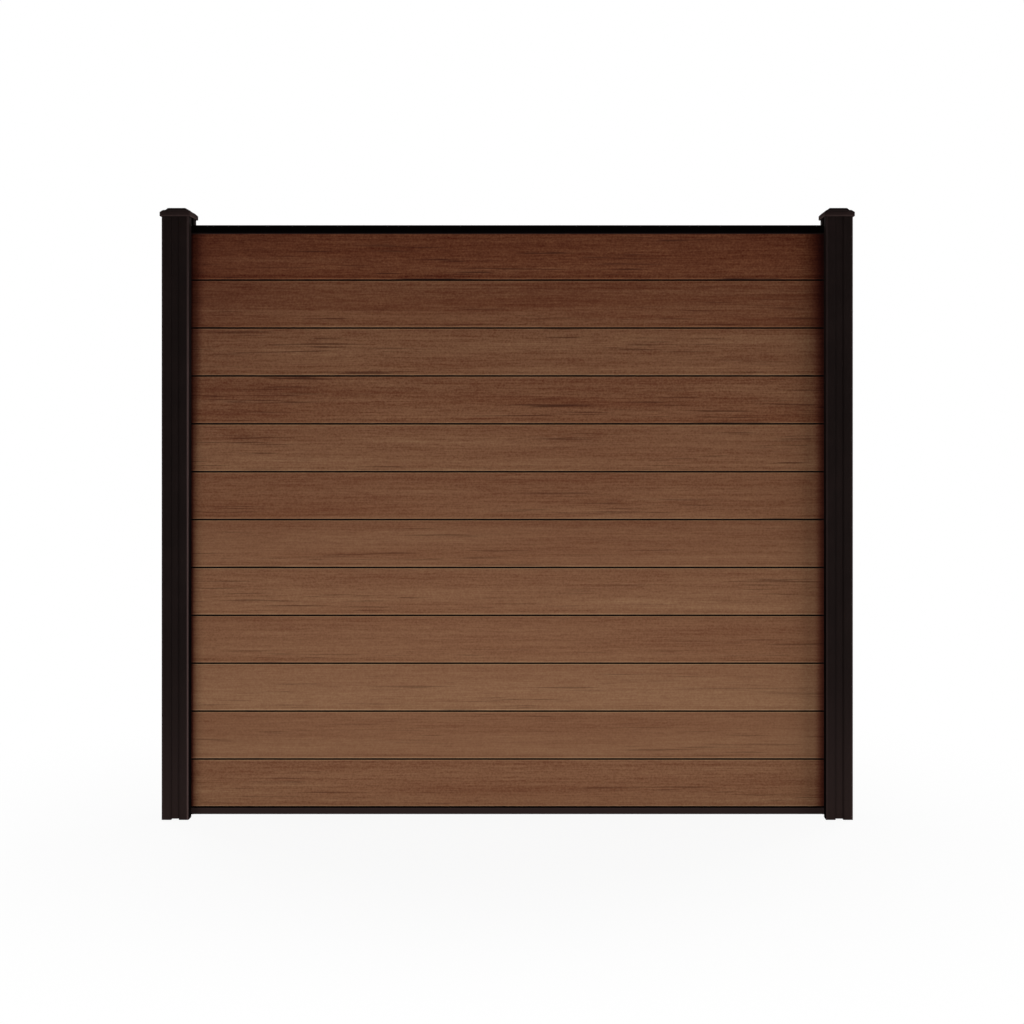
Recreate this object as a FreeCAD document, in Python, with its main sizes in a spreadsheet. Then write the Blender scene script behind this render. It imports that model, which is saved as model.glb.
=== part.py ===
# Composite fence panel: hollow tongue-and-groove boards stacked between two slotted aluminium posts.
# The lowest board stands on a bottom rail, a top rail closes the stack, and a stepped cap closes each post.
# Frame: millimetres, +X along the panel, +Z up, the front faces -Y, the origin on the ground at mid-panel.
import FreeCAD, Part
import os
import types

import Sketcher

# Driving sizes: name, value in millimetres (or a plain count), what it measures
SIZES = [
    ("board_count", 12, "boards in the stack"),
    ("board_length", 2000, "board, end to end"),
    ("board_cover", 150, "one board's share of the height, shoulder to shoulder"),
    ("board_thickness", 20, "board, face to face"),
    ("joint_reveal", 4, "open shadow joint between two boards' faces"),
    ("tongue_height", 12, "tongue above its shoulders"),
    ("tongue_root", 8, "tongue thickness at the shoulders"),
    ("tongue_tip", 6.5, "tongue thickness at its tip"),
    ("tongue_clearance", 0.6, "gap on each side of a tongue in its groove"),
    ("tongue_bevel", 1.2, "bevel on the tip of a board's tongue"),
    ("lip_radius", 2.5, "round under a board's two lower lips"),
    ("shoulder_radius", 1.2, "round on a board's two upper shoulders"),
    ("chamber_count", 6, "hollow chambers along a board"),
    ("board_wall", 5.5, "board's front and back walls beside the chambers"),
    ("chamber_web", 6, "web between two chambers"),
    ("chamber_skin", 6, "board left above and below the row of chambers"),
    ("chamber_bevel", 2.2, "bevel in a chamber's corners"),
    ("board_bite", 10, "length of board end inside a post's slot"),
    ("post_width", 84, "post, face to face"),
    ("post_rise", 34, "post's top end above the top rail"),
    ("post_wall", 2, "wall of the post extrusion"),
    ("post_corner_radius", 2.5, "round on the post's outer corners"),
    ("slot_depth", 16, "slot from the post's face to the slot's floor"),
    ("slot_lip_radius", 0.8, "round on the slot's mouth"),
    ("rail_bite", 8, "length of rail end inside a post's slot"),
    ("rail_wall", 1.6, "wall of the rail extrusions"),
    ("rail_clearance", 0.3, "gap between a rail and the slot's side walls"),
    ("rail_board_clearance", 0.1, "gap between the top rail's legs and the top board"),
    ("rail_edge_radius", 1.2, "round on the rails' long outer edges"),
    ("rail_lip_radius", 0.7, "round under the top rail's two legs"),
    ("bottom_rail_lift", 8, "bottom rail above the ground"),
    ("bottom_rail_height", 20, "bottom rail, underside to shoulder"),
    ("top_rail_crown", 12, "top rail above the top board's tongue"),
    ("top_rail_lap", 4, "top rail's legs down over the top board's faces"),
    ("strip_clearance", 0.3, "gap between a cover strip and the slot's side walls"),
    ("strip_recess", 1.2, "cover strip's face below the post's face"),
    ("strip_wall", 1.5, "wall of the cover strip"),
    ("strip_leg", 9, "cover strip's legs, measured from its face"),
    ("strip_edge_radius", 0.6, "round on the cover strip's front edges"),
    ("strip_foot_gap", 3.5, "cover strip cut short above the post's foot"),
    ("gasket_width", 6, "gasket along the slot's side wall"),
    ("gasket_thickness", 1.8, "gasket off the slot's side wall"),
    ("gasket_setback", 1.5, "gasket in from the slot's mouth"),
    ("gasket_clearance", 0.2, "gap between a gasket and the board's face"),
    ("gasket_radius", 1.2, "round on the side of the gasket that meets the board"),
    ("bracket_setback", 2, "bracket's ledge in from the slot's mouth"),
    ("bracket_height", 26, "bracket's upright leg"),
    ("bracket_width", 20, "bracket across the slot"),
    ("bracket_wall", 2, "bracket's sheet thickness"),
    ("bracket_bend", 1.5, "inside radius of the bracket's bend"),
    ("screw_height", 16, "screw above the bracket's underside"),
    ("screw_radius", 2.1, "screw shank"),
    ("screw_clearance", 0.1, "gap round the shank in its holes"),
    ("screw_length", 6, "screw under its head"),
    ("screw_head_flats", 7, "hexagon head, flat to flat"),
    ("screw_head_height", 2.8, "hexagon head"),
    ("cap_overhang", 5, "cap's skirt outside the post's face"),
    ("cap_wall", 2.2, "wall of the cap"),
    ("cap_skirt", 13, "upright skirt of the cap"),
    ("cap_cover", 11, "post's top end inside the skirt"),
    ("cap_seat", 7, "ring inside the cap that sits on the post's top end"),
    ("cap_bevel_run", 7.4, "lower bevel, inwards"),
    ("cap_bevel_rise", 7, "lower bevel, upwards"),
    ("cap_ledge_run", 6, "nearly flat ledge, inwards"),
    ("cap_ledge_rise", 1.5, "nearly flat ledge, upwards"),
    ("cap_crown_run", 6.2, "upper bevel, inwards"),
    ("cap_crown_rise", 6.8, "upper bevel, upwards"),
    ("cap_corner_radius", 2.5, "round on the cap's corners"),
    ("cap_grip_clearance", 0.3, "gap between the grip ribs and the post's faces"),
    ("cap_rib_width", 2.5, "grip rib inside the skirt"),
    ("cap_rib_offset", 26, "grip rib from the middle of its side"),
]
SHEET = "Sizes"
SAME_PLACE = 1e-4  # two points closer than this are the same point
UPRIGHT = FreeCAD.Vector(0, 0, 1)
QUARTER_TURN = 90  # degrees
HALF_TURN = 2 * QUARTER_TURN
FULL_TURN = 2 * HALF_TURN
SIDES = 4  # faces of a post or a cap
HEXAGON_CORNER_SHARE = 3**-0.5  # of a hexagon's width between flats, from its middle to a corner


class Length:
    """A size of the sheet, or a sum of such sizes: its number, and the expression that binds it."""

    def __init__(self, number, words):
        self.number = number
        self.words = words

    def __add__(self, other):
        return Length(self.number + number_of(other), f"({self.words} + {words_of(other)})")

    def __sub__(self, other):
        return Length(self.number - number_of(other), f"({self.words} - {words_of(other)})")

    def __mul__(self, factor):
        return Length(self.number * number_of(factor), f"({self.words} * {words_of(factor)})")

    def __truediv__(self, divisor):
        return Length(self.number / number_of(divisor), f"({self.words} / {words_of(divisor)})")

    def __neg__(self):
        return Length(-self.number, f"(-1 * {self.words})")


def number_of(value):
    return value.number if isinstance(value, Length) else value


def words_of(value):
    return value.words if isinstance(value, Length) else str(value)


def fill_sheet(doc):
    """Writes the driving sizes to the sheet and returns them by name."""
    sheet = doc.addObject("Spreadsheet::Sheet", SHEET)
    sheet.Label = SHEET
    for row, (name, value, meaning) in enumerate(SIZES, start=1):
        sheet.set(f"A{row}", name)
        sheet.set(f"B{row}", str(value))
        sheet.setAlias(f"B{row}", name)
        sheet.set(f"C{row}", meaning)
    doc.recompute()
    return types.SimpleNamespace(
        **{name: Length(float(sheet.get(name)), f"{SHEET}.{name}") for name, _, _ in SIZES}
    )


doc = FreeCAD.newDocument("fence_panel")
size = fill_sheet(doc)

# Heights and places that several pieces share
post_half = size.post_width / 2
slot_half = size.board_thickness / 2 + size.gasket_clearance + size.gasket_thickness
slot_floor = post_half - size.slot_depth  # from the post's axis
post_axis = size.board_length / 2 - size.board_bite + post_half  # from mid-panel
stack_foot = size.bottom_rail_lift + size.bottom_rail_height  # bottom rail's shoulder
stack_top = stack_foot + size.board_cover * size.board_count  # top board's shoulder
rail_half = slot_half - size.rail_clearance
rail_length = size.board_length - (size.board_bite - size.rail_bite) * 2
top_rail_top = stack_top + size.tongue_height + size.top_rail_crown
lower_bracket_foot = size.bottom_rail_lift - size.bracket_wall
upper_bracket_foot = top_rail_top
post_height = top_rail_top + size.post_rise


# Sketching and solid features, each bound to the sheet


def bind(thing, prop, value):
    """Sets a property and, where the value comes from the sheet, ties it there."""
    if isinstance(value, Length):
        thing.setExpression(prop, value.words)
    else:
        setattr(thing, prop, value)


def add_body(label):
    body = doc.addObject("PartDesign::Body", label)
    body.Label = label
    return body


def origin_feature(body, role):
    return next(item for item in body.Origin.OriginFeatures if item.Role == role)


def add_sketch(body, name, role, lift=None):
    """A sketch on one of the body's origin planes, lifted off it by a size where one is given."""
    sketch = body.newObject("Sketcher::SketchObject", name)
    sketch.AttachmentSupport = [(origin_feature(body, role), "")]
    sketch.MapMode = "FlatFace"
    if lift is not None:
        sketch.setExpression("AttachmentOffset.Base.z", lift.words)
    return sketch


def pin(sketch, element, point, across, up):
    """Ties one point of a sketch to its two coordinates; a zero puts it on the axis."""
    for kind, value, axis in (("DistanceX", across, -2), ("DistanceY", up, -1)):
        if isinstance(value, Length):
            rule = sketch.addConstraint(Sketcher.Constraint(kind, element, point, value.number))
            sketch.setExpression(f"Constraints[{rule}]", value.words)
        else:
            sketch.addConstraint(Sketcher.Constraint("PointOnObject", element, point, axis))


def set_radius(sketch, element, radius):
    rule = sketch.addConstraint(Sketcher.Constraint("Radius", element, radius.number))
    sketch.setExpression(f"Constraints[{rule}]", radius.words)


def at(across, up):
    return FreeCAD.Vector(number_of(across), number_of(up), 0)


def outline(sketch, corners):
    """A closed outline with straight sides through the corners."""
    first = sketch.GeometryCount
    count = len(corners)
    for number, corner in enumerate(corners):
        following = corners[(number + 1) % count]
        sketch.addGeometry(Part.LineSegment(at(*corner), at(*following)))
    for number, corner in enumerate(corners):
        following = first + (number + 1) % count
        sketch.addConstraint(Sketcher.Constraint("Coincident", first + number, 2, following, 1))
        pin(sketch, first + number, 1, *corner)
    return sketch


def mirrored(right_half):
    """The corners of an outline that is alike on both sides of the upright axis, from those on the right."""
    left_half = [(-across, up) for across, up in reversed(right_half) if isinstance(across, Length)]
    return right_half + left_half


def block(sketch, left, right, low, high):
    return outline(sketch, [(left, low), (right, low), (right, high), (left, high)])


def square(sketch, half):
    return block(sketch, -half, half, -half, half)


def bevelled_block(sketch, half, low, high, bevel):
    """A block with bevelled corners, alike on both sides of the upright axis."""
    right = [(half - bevel, low), (half, low + bevel), (half, high - bevel), (half - bevel, high)]
    return outline(sketch, mirrored(right))


def circle(sketch, across, up, radius):
    ring = sketch.addGeometry(Part.Circle(at(across, up), UPRIGHT, radius.number))
    set_radius(sketch, ring, radius)
    pin(sketch, ring, 3, across, up)
    return sketch


def quarter_arc(centre, radius, quarter):
    """One quarter of a circle, counted anticlockwise from the upper right one."""
    turn = FreeCAD.Rotation(UPRIGHT, quarter * QUARTER_TURN)
    start = turn.multVec(FreeCAD.Vector(radius.number, 0, 0))
    end = turn.multVec(FreeCAD.Vector(0, radius.number, 0))
    return Part.Arc(centre + start, centre + (start + end).normalize() * radius.number, centre + end)


def rounded_square(sketch, half, radius):
    """A square with round corners: four quarter arcs, joined by tangent sides."""
    inset = half - radius
    centres = [(inset, inset), (-inset, inset), (-inset, -inset), (inset, -inset)]
    for quarter, centre in enumerate(centres):
        sketch.addGeometry(quarter_arc(at(*centre), radius, quarter))
    arcs = [sketch.Geometry[quarter] for quarter in range(SIDES)]
    for quarter in range(SIDES):
        following = arcs[(quarter + 1) % SIDES]
        sketch.addGeometry(Part.LineSegment(arcs[quarter].EndPoint, following.StartPoint))
    for quarter, centre in enumerate(centres):
        side = SIDES + quarter
        sketch.addConstraint(Sketcher.Constraint("Tangent", quarter, 2, side, 1))
        sketch.addConstraint(Sketcher.Constraint("Tangent", side, 2, (quarter + 1) % SIDES, 1))
        set_radius(sketch, quarter, radius)
        pin(sketch, quarter, 3, *centre)
    return sketch


def pad(body, name, sketch, length, both_ways=False, against_normal=False):
    feature = body.newObject("PartDesign::Pad", name)
    feature.Profile = sketch
    feature.Reversed = against_normal
    if both_ways:
        feature.SideType = "Symmetric"
    bind(feature, "Length", length)
    doc.recompute()
    return feature


def cut(body, name, sketch, depth=None):
    """A pocket along the sketch's normal, to a depth or right through. It has to cut something."""
    before = body.Shape.Volume
    feature = body.newObject("PartDesign::Pocket", name)
    feature.Profile = sketch
    feature.Reversed = True
    if depth is None:
        feature.Type = "ThroughAll"
    else:
        bind(feature, "Length", depth)
    doc.recompute()
    if body.Shape.Volume >= before:
        raise RuntimeError(f"{name} removed nothing from {body.Label}")
    return feature


def hollow_frustum(body, name, low, high):
    """Cuts a square frustum, each end given by its height and half its width."""
    wedge = body.newObject("PartDesign::SubtractiveWedge", name)
    wedge.AttachmentSupport = [(origin_feature(body, "XZ_Plane"), "")]
    wedge.MapMode = "FlatFace"
    for end, lowest, highest in ((low, "{}min", "{}max"), (high, "{}2min", "{}2max")):
        for axis in "XZ":
            bind(wedge, lowest.format(axis), -end[1])
            bind(wedge, highest.format(axis), end[1])
    bind(wedge, "Ymin", low[0])
    bind(wedge, "Ymax", high[0])
    doc.recompute()
    return wedge


def repeat_round(body, name, features):
    """Repeats features on the four sides of an upright piece."""
    pattern = body.newObject("PartDesign::PolarPattern", name)
    pattern.Originals = features
    pattern.Axis = (origin_feature(body, "Z_Axis"), [""])
    pattern.Angle = FULL_TURN
    pattern.Occurrences = SIDES
    body.Tip = pattern
    doc.recompute()
    return pattern


def edges_at(feature, drop_axis, spots):
    """Names of the edges that run along one axis through the given points of the other two."""
    found = []
    for number, edge in enumerate(feature.Shape.Edges, start=1):
        start, end = (list(vertex.Point) for vertex in (edge.Vertexes[0], edge.Vertexes[-1]))
        del start[drop_axis], end[drop_axis]
        for spot in spots:
            near_start = all(abs(a - number_of(b)) < SAME_PLACE for a, b in zip(start, spot))
            near_end = all(abs(a - number_of(b)) < SAME_PLACE for a, b in zip(end, spot))
            if near_start and near_end:
                found.append(f"Edge{number}")
    return found


def round_edges(body, name, base, drop_axis, spots, radius):
    feature = body.newObject("PartDesign::Fillet", name)
    feature.Base = (base, edges_at(base, drop_axis, spots))
    bind(feature, "Radius", radius)
    doc.recompute()
    return feature


def bevel_edges(body, name, base, drop_axis, spots, depth):
    feature = body.newObject("PartDesign::Chamfer", name)
    feature.Base = (base, edges_at(base, drop_axis, spots))
    bind(feature, "Size", depth)
    doc.recompute()
    return feature


def place(body, x, z=None, turn=0):
    """Puts a finished body in the panel's frame, turned by an angle about its upright axis."""
    body.Placement.Rotation = FreeCAD.Rotation(UPRIGHT, turn)
    body.setExpression("Placement.Base.x", x.words)
    if z is not None:
        body.setExpression("Placement.Base.z", z.words)
    doc.recompute()
    return body


ALONG_X, ALONG_Y, ALONG_Z = range(3)


# Boards


def add_board(label, foot):
    """One hollow board. Its zero height is the shoulder below, and its groove sits on that tongue's tip."""
    body = add_body(label)
    face = size.board_thickness / 2
    root = size.tongue_root / 2
    tip = size.tongue_tip / 2
    crest = size.board_cover + size.tongue_height
    groove_floor = size.tongue_height
    groove_slope = (size.tongue_root - size.tongue_tip) / 2 / size.tongue_height
    mouth = root + size.tongue_clearance - groove_slope * size.joint_reveal
    bed = tip + size.tongue_clearance
    half_outline = [
        (bed, groove_floor),
        (mouth, size.joint_reveal),
        (face, size.joint_reveal),
        (face, size.board_cover),
        (root, size.board_cover),
        (tip, crest),
    ]
    section = outline(add_sketch(body, f"{label}_section", "YZ_Plane"), mirrored(half_outline))
    solid = pad(body, f"{label}_pad", section, size.board_length)

    row_foot = groove_floor + size.chamber_skin
    row_height = size.board_cover - size.chamber_skin - row_foot
    pitch = (row_height + size.chamber_web) / size.chamber_count
    chamber_height = pitch - size.chamber_web
    hollow = add_sketch(body, f"{label}_chamber", "YZ_Plane")
    bevelled_block(hollow, face - size.board_wall, row_foot, row_foot + chamber_height, size.chamber_bevel)
    chamber = cut(body, f"{label}_hollow", hollow)
    row = body.newObject("PartDesign::LinearPattern", f"{label}_chambers")
    row.Originals = [chamber]
    row.Direction = (origin_feature(body, "Z_Axis"), [""])
    bind(row, "Length", row_height - chamber_height)
    bind(row, "Occurrences", size.chamber_count)
    body.Tip = row
    doc.recompute()

    lips = [(face, size.joint_reveal), (-face, size.joint_reveal)]
    shoulders = [(face, size.board_cover), (-face, size.board_cover)]
    tips = [(tip, crest), (-tip, crest)]
    solid = round_edges(body, f"{label}_lips", row, ALONG_X, lips, size.lip_radius)
    solid = round_edges(body, f"{label}_shoulders", solid, ALONG_X, shoulders, size.shoulder_radius)
    bevel_edges(body, f"{label}_tongue", solid, ALONG_X, tips, size.tongue_bevel)
    return place(body, x=-(size.board_length / 2), z=foot)


# Posts


def add_post(label, axis, turn):
    """A four-slot hollow extrusion. Before it is turned, its board slot opens towards +X."""
    body = add_body(label)
    core = slot_floor - size.post_wall
    cheek = slot_half + size.post_wall
    shell = post_half - size.post_wall
    outside = add_sketch(body, f"{label}_outside", "XY_Plane")
    rounded_square(outside, post_half, size.post_corner_radius)
    pad(body, f"{label}_pad", outside, post_height)
    cut(body, f"{label}_core", square(add_sketch(body, f"{label}_core_square", "XY_Plane"), core))

    corner = block(add_sketch(body, f"{label}_corner_square", "XY_Plane"), cheek, shell, cheek, shell)
    corner_chamber = cut(body, f"{label}_corner", corner)
    mouth = add_sketch(body, f"{label}_slot_section", "XY_Plane")
    block(mouth, slot_floor, post_half, -slot_half, slot_half)
    slot = cut(body, f"{label}_slot", mouth)
    solid = repeat_round(body, f"{label}_four_sides", [corner_chamber, slot])

    holes = add_sketch(body, f"{label}_screw_circles", "YZ_Plane")
    for foot in (lower_bracket_foot, upper_bracket_foot):
        circle(holes, 0, foot + size.screw_height, size.screw_radius + size.screw_clearance)
    solid = cut(body, f"{label}_screw_holes", holes)

    lips = [(a, b) for a in (post_half, -post_half) for b in (slot_half, -slot_half)]
    lips += [(b, a) for a, b in lips]
    round_edges(body, f"{label}_slot_lips", solid, ALONG_Z, lips, size.slot_lip_radius)
    return place(body, x=axis, turn=turn)


# Rails


def add_bottom_rail(label):
    """A hollow rail with a tongue like a board's. Its frame's zero height is the underside."""
    body = add_body(label)
    wall = size.rail_wall
    shoulder = size.bottom_rail_height
    crest = shoulder + size.tongue_height
    root = size.tongue_root / 2
    tip = size.tongue_tip / 2
    outside = mirrored([(rail_half, 0), (rail_half, shoulder), (root, shoulder), (tip, crest)])
    inside = mirrored(
        [
            (rail_half - wall, wall),
            (rail_half - wall, shoulder - wall),
            (root - wall, shoulder - wall),
            (tip - wall, crest - wall),
        ]
    )
    section = add_sketch(body, f"{label}_section", "YZ_Plane")
    outline(section, outside)
    outline(section, inside)
    solid = pad(body, f"{label}_pad", section, rail_length)
    edges = [(side, height) for side in (rail_half, -rail_half) for height in (0, shoulder)]
    round_edges(body, f"{label}_edges", solid, ALONG_X, edges, size.rail_edge_radius)
    return place(body, x=-(rail_length / 2), z=size.bottom_rail_lift)


def add_top_rail(label):
    """A rail whose two legs straddle the top board's tongue. Its zero height is that board's shoulder."""
    body = add_body(label)
    wall = size.rail_wall
    lip = -size.top_rail_lap
    web = size.tongue_height
    top = web + size.top_rail_crown
    leg = size.board_thickness / 2 + size.rail_board_clearance
    section = add_sketch(body, f"{label}_section", "YZ_Plane")
    outline(section, mirrored([(rail_half, top), (rail_half, lip), (leg, lip), (leg, web)]))
    block(section, wall - rail_half, rail_half - wall, web + wall, top - wall)
    solid = pad(body, f"{label}_pad", section, rail_length)
    edges = [(rail_half, top), (-rail_half, top)]
    lips = [(rail_half, lip), (-rail_half, lip)]
    solid = round_edges(body, f"{label}_edges", solid, ALONG_X, edges, size.rail_edge_radius)
    round_edges(body, f"{label}_lips", solid, ALONG_X, lips, size.rail_lip_radius)
    return place(body, x=-(rail_length / 2), z=stack_top)


# Pieces in the posts' slots


def add_strip(label, axis, turn):
    """A channel-shaped strip that closes an unused slot. Before it is turned, it faces -Y."""
    body = add_body(label)
    side = slot_half - size.strip_clearance
    inner = side - size.strip_wall
    front = -(post_half - size.strip_recess)
    back = front + size.strip_wall
    leg_end = front + size.strip_leg
    section = add_sketch(body, f"{label}_section", "XY_Plane")
    outline(section, mirrored([(side, front), (side, leg_end), (inner, leg_end), (inner, back)]))
    solid = pad(body, f"{label}_pad", section, post_height - size.strip_foot_gap)
    edges = [(side, front), (-side, front)]
    round_edges(body, f"{label}_edges", solid, ALONG_Z, edges, size.strip_edge_radius)
    return place(body, x=axis, z=size.strip_foot_gap, turn=turn)


def add_gasket(label, axis, turn, side):
    """A rubber strip between the boards and a side wall of their slot, which faces +X before it is turned."""
    body = add_body(label)
    outer = post_half - size.gasket_setback
    inner = outer - size.gasket_width
    far = slot_half * side
    near = far - size.gasket_thickness * side
    section = add_sketch(body, f"{label}_section", "XY_Plane")
    outline(section, [(inner, near), (outer, near), (outer, far), (inner, far)])
    solid = pad(body, f"{label}_pad", section, stack_top - size.top_rail_lap - stack_foot)
    edges = [(inner, near), (outer, near)]
    round_edges(body, f"{label}_edges", solid, ALONG_Z, edges, size.gasket_radius)
    return place(body, x=axis, z=stack_foot, turn=turn)


def add_bracket(label, axis, foot, turn):
    """An angle on the floor of a board slot, with a ledge that holds a rail's end and one screw hole."""
    body = add_body(label)
    wall = size.bracket_wall
    face = slot_floor + wall
    ledge_end = post_half - size.bracket_setback
    section = add_sketch(body, f"{label}_section", "XZ_Plane")
    outline(
        section,
        [
            (slot_floor, 0),
            (ledge_end, 0),
            (ledge_end, wall),
            (face, wall),
            (face, size.bracket_height),
            (slot_floor, size.bracket_height),
        ],
    )
    solid = pad(body, f"{label}_pad", section, size.bracket_width, both_ways=True)
    inside = [(face, wall)]
    outside = [(slot_floor, 0)]
    solid = round_edges(body, f"{label}_bend", solid, ALONG_Y, inside, size.bracket_bend)
    round_edges(body, f"{label}_heel", solid, ALONG_Y, outside, size.bracket_bend + wall)
    hole = add_sketch(body, f"{label}_screw_circle", "YZ_Plane")
    circle(hole, 0, size.screw_height, size.screw_radius + size.screw_clearance)
    cut(body, f"{label}_screw_hole", hole)
    return place(body, x=axis, z=foot, turn=turn)


def add_screw(label, axis, foot, turn):
    """A hexagon-head screw through a bracket and the slot's floor. Before it is turned, its head faces +X."""
    body = add_body(label)
    seat = slot_floor + size.bracket_wall
    flat = size.screw_head_flats / 2
    corner = size.screw_head_flats * HEXAGON_CORNER_SHARE
    head = add_sketch(body, f"{label}_hexagon", "YZ_Plane", seat)
    outline(head, mirrored([(0, corner), (flat, corner / 2), (flat, -(corner / 2)), (0, -corner)]))
    pad(body, f"{label}_head", head, size.screw_head_height)
    shank = circle(add_sketch(body, f"{label}_circle", "YZ_Plane", seat), 0, 0, size.screw_radius)
    pad(body, f"{label}_shank", shank, size.screw_length, against_normal=True)
    return place(body, x=axis, z=foot + size.screw_height, turn=turn)


# Post caps


def add_cap(label, axis):
    """A hollow stepped cap. Its frame's zero height is the skirt's lower edge."""
    body = add_body(label)
    outer = post_half + size.cap_overhang
    crown_foot = outer - size.cap_bevel_run - size.cap_ledge_run
    crown_top = crown_foot - size.cap_crown_run
    bevel_top = size.cap_skirt + size.cap_bevel_rise
    ledge_top = bevel_top + size.cap_ledge_rise
    height = ledge_top + size.cap_crown_rise

    steps = [
        (None, outer),
        (size.cap_skirt, outer),
        (bevel_top, outer - size.cap_bevel_run),
        (ledge_top, crown_foot),
        (height, crown_top),
    ]
    sections = []
    for number, (lift, half) in enumerate(steps):
        sketch = add_sketch(body, f"{label}_step_{number}", "XY_Plane", lift)
        sections.append(rounded_square(sketch, half, size.cap_corner_radius))
    doc.recompute()
    loft = body.newObject("PartDesign::AdditiveLoft", f"{label}_steps")
    loft.Profile = sections[0]
    loft.Sections = sections[1:]
    loft.Ruled = True
    doc.recompute()

    skirt_inside = outer - size.cap_wall
    sleeve = square(add_sketch(body, f"{label}_sleeve_square", "XY_Plane"), skirt_inside)
    cut(body, f"{label}_sleeve", sleeve, size.cap_cover)
    roof_foot = (size.cap_cover, post_half - size.cap_seat)
    roof_bend = (ledge_top - size.cap_wall, crown_foot)
    roof_top = (height - size.cap_wall, crown_top - size.cap_wall)
    hollow_frustum(body, f"{label}_lower_roof", roof_foot, roof_bend)
    hollow_frustum(body, f"{label}_upper_roof", roof_bend, roof_top)

    rib_half = size.cap_rib_width / 2
    grip = post_half + size.cap_grip_clearance
    ribs = add_sketch(body, f"{label}_rib_section", "XY_Plane")
    for middle in (size.cap_rib_offset, -size.cap_rib_offset):
        block(ribs, grip, skirt_inside, middle - rib_half, middle + rib_half)
    rib = pad(body, f"{label}_rib", ribs, size.cap_cover)
    repeat_round(body, f"{label}_ribs", [rib])
    return place(body, x=axis, z=post_height - size.cap_cover)


# The panel, from left to right

nodes = [add_bottom_rail("bottom_rail"), add_top_rail("top_rail")]
for number in range(int(size.board_count.number)):
    nodes.append(add_board(f"board_{number + 1:02d}", stack_foot + size.board_cover * number))

screws = []
for hand, axis, turn in (("left", -post_axis, 0), ("right", post_axis, HALF_TURN)):
    nodes.append(add_post(f"{hand}_post", axis, turn))
    nodes.append(add_cap(f"{hand}_post_cap", axis))
    nodes.append(add_strip(f"{hand}_front_strip", axis, 0))
    nodes.append(add_strip(f"{hand}_outer_strip", axis, turn - QUARTER_TURN))
    nodes.append(add_strip(f"{hand}_back_strip", axis, HALF_TURN))
    front_side = 1 if turn else -1
    nodes.append(add_gasket(f"{hand}_front_gasket", axis, turn, front_side))
    nodes.append(add_gasket(f"{hand}_back_gasket", axis, turn, -front_side))
    for level, foot in (("lower", lower_bracket_foot), ("upper", upper_bracket_foot)):
        nodes.append(add_bracket(f"{hand}_{level}_bracket", axis, foot, turn))
        screws.append(add_screw(f"{hand}_{level}_screw", axis, foot, turn))

screw_group = doc.addObject("Part::Compound", "bracket_screws")
screw_group.Label = "bracket_screws"
screw_group.Links = screws
nodes.append(screw_group)
doc.recompute()

# Every feature has to be sound before anything is written
for item in doc.Objects:
    if "Invalid" in item.State or "Error" in item.State:
        raise RuntimeError(f"{item.Label} did not compute: {item.State}")
for node in nodes:
    if node.Shape.isNull() or not node.Shape.isValid():
        raise RuntimeError(f"{node.Label} has no sound shape")

os.makedirs("parts", exist_ok=True)
for node in nodes:
    node.Shape.exportStep(f"parts/{node.Label}.step")
print(len(nodes), "nodes written")
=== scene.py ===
import math

import bmesh
import bpy
from mathutils import Matrix, Vector


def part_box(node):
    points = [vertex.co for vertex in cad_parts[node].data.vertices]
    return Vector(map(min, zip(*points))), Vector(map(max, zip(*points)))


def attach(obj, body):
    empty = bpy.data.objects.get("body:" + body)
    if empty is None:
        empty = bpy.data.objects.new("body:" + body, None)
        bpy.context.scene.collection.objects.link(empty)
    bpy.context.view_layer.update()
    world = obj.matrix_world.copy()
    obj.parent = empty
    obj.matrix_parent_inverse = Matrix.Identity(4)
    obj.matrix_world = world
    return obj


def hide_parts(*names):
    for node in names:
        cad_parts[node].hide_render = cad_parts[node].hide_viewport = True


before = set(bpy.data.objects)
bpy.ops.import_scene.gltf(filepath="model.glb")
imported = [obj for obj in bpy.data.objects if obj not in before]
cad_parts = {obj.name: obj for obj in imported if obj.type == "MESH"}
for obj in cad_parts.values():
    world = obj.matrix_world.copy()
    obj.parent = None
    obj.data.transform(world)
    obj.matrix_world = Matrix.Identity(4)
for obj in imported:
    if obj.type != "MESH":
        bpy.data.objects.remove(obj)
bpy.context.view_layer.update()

# Looks of the composite fence panel, in metres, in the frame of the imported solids.
# Drawn sections make the boards, posts, rails, strips, gaskets and brackets; a ring stack makes the caps.

MM = 0.001
HANDS = ("left", "right")
BOARDS = sorted(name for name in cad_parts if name.startswith("board_"))

# Sizes read off the frame
post_low, post_high = (Vector(corner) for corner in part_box("left_post"))
cap_low, cap_high = (Vector(corner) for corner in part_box("left_post_cap"))
board_low, board_high = (Vector(corner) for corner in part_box(BOARDS[0]))
bottom_rail_low, bottom_rail_high = (Vector(corner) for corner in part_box("bottom_rail"))
top_rail_low, top_rail_high = (Vector(corner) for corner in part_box("top_rail"))
strip_low, strip_high = (Vector(corner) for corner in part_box("left_front_strip"))
bracket_low, bracket_high = (Vector(corner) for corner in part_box("left_lower_bracket"))
POST_HALF = (post_high.x - post_low.x) / 2
POST_HEIGHT = post_high.z
POST_AXIS = {"left": (post_low.x + post_high.x) / 2, "right": -(post_low.x + post_high.x) / 2}
BOARD_HALF = (board_high.y - board_low.y) / 2
BOARD_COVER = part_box(BOARDS[1])[0][2] - board_low.z

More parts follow.
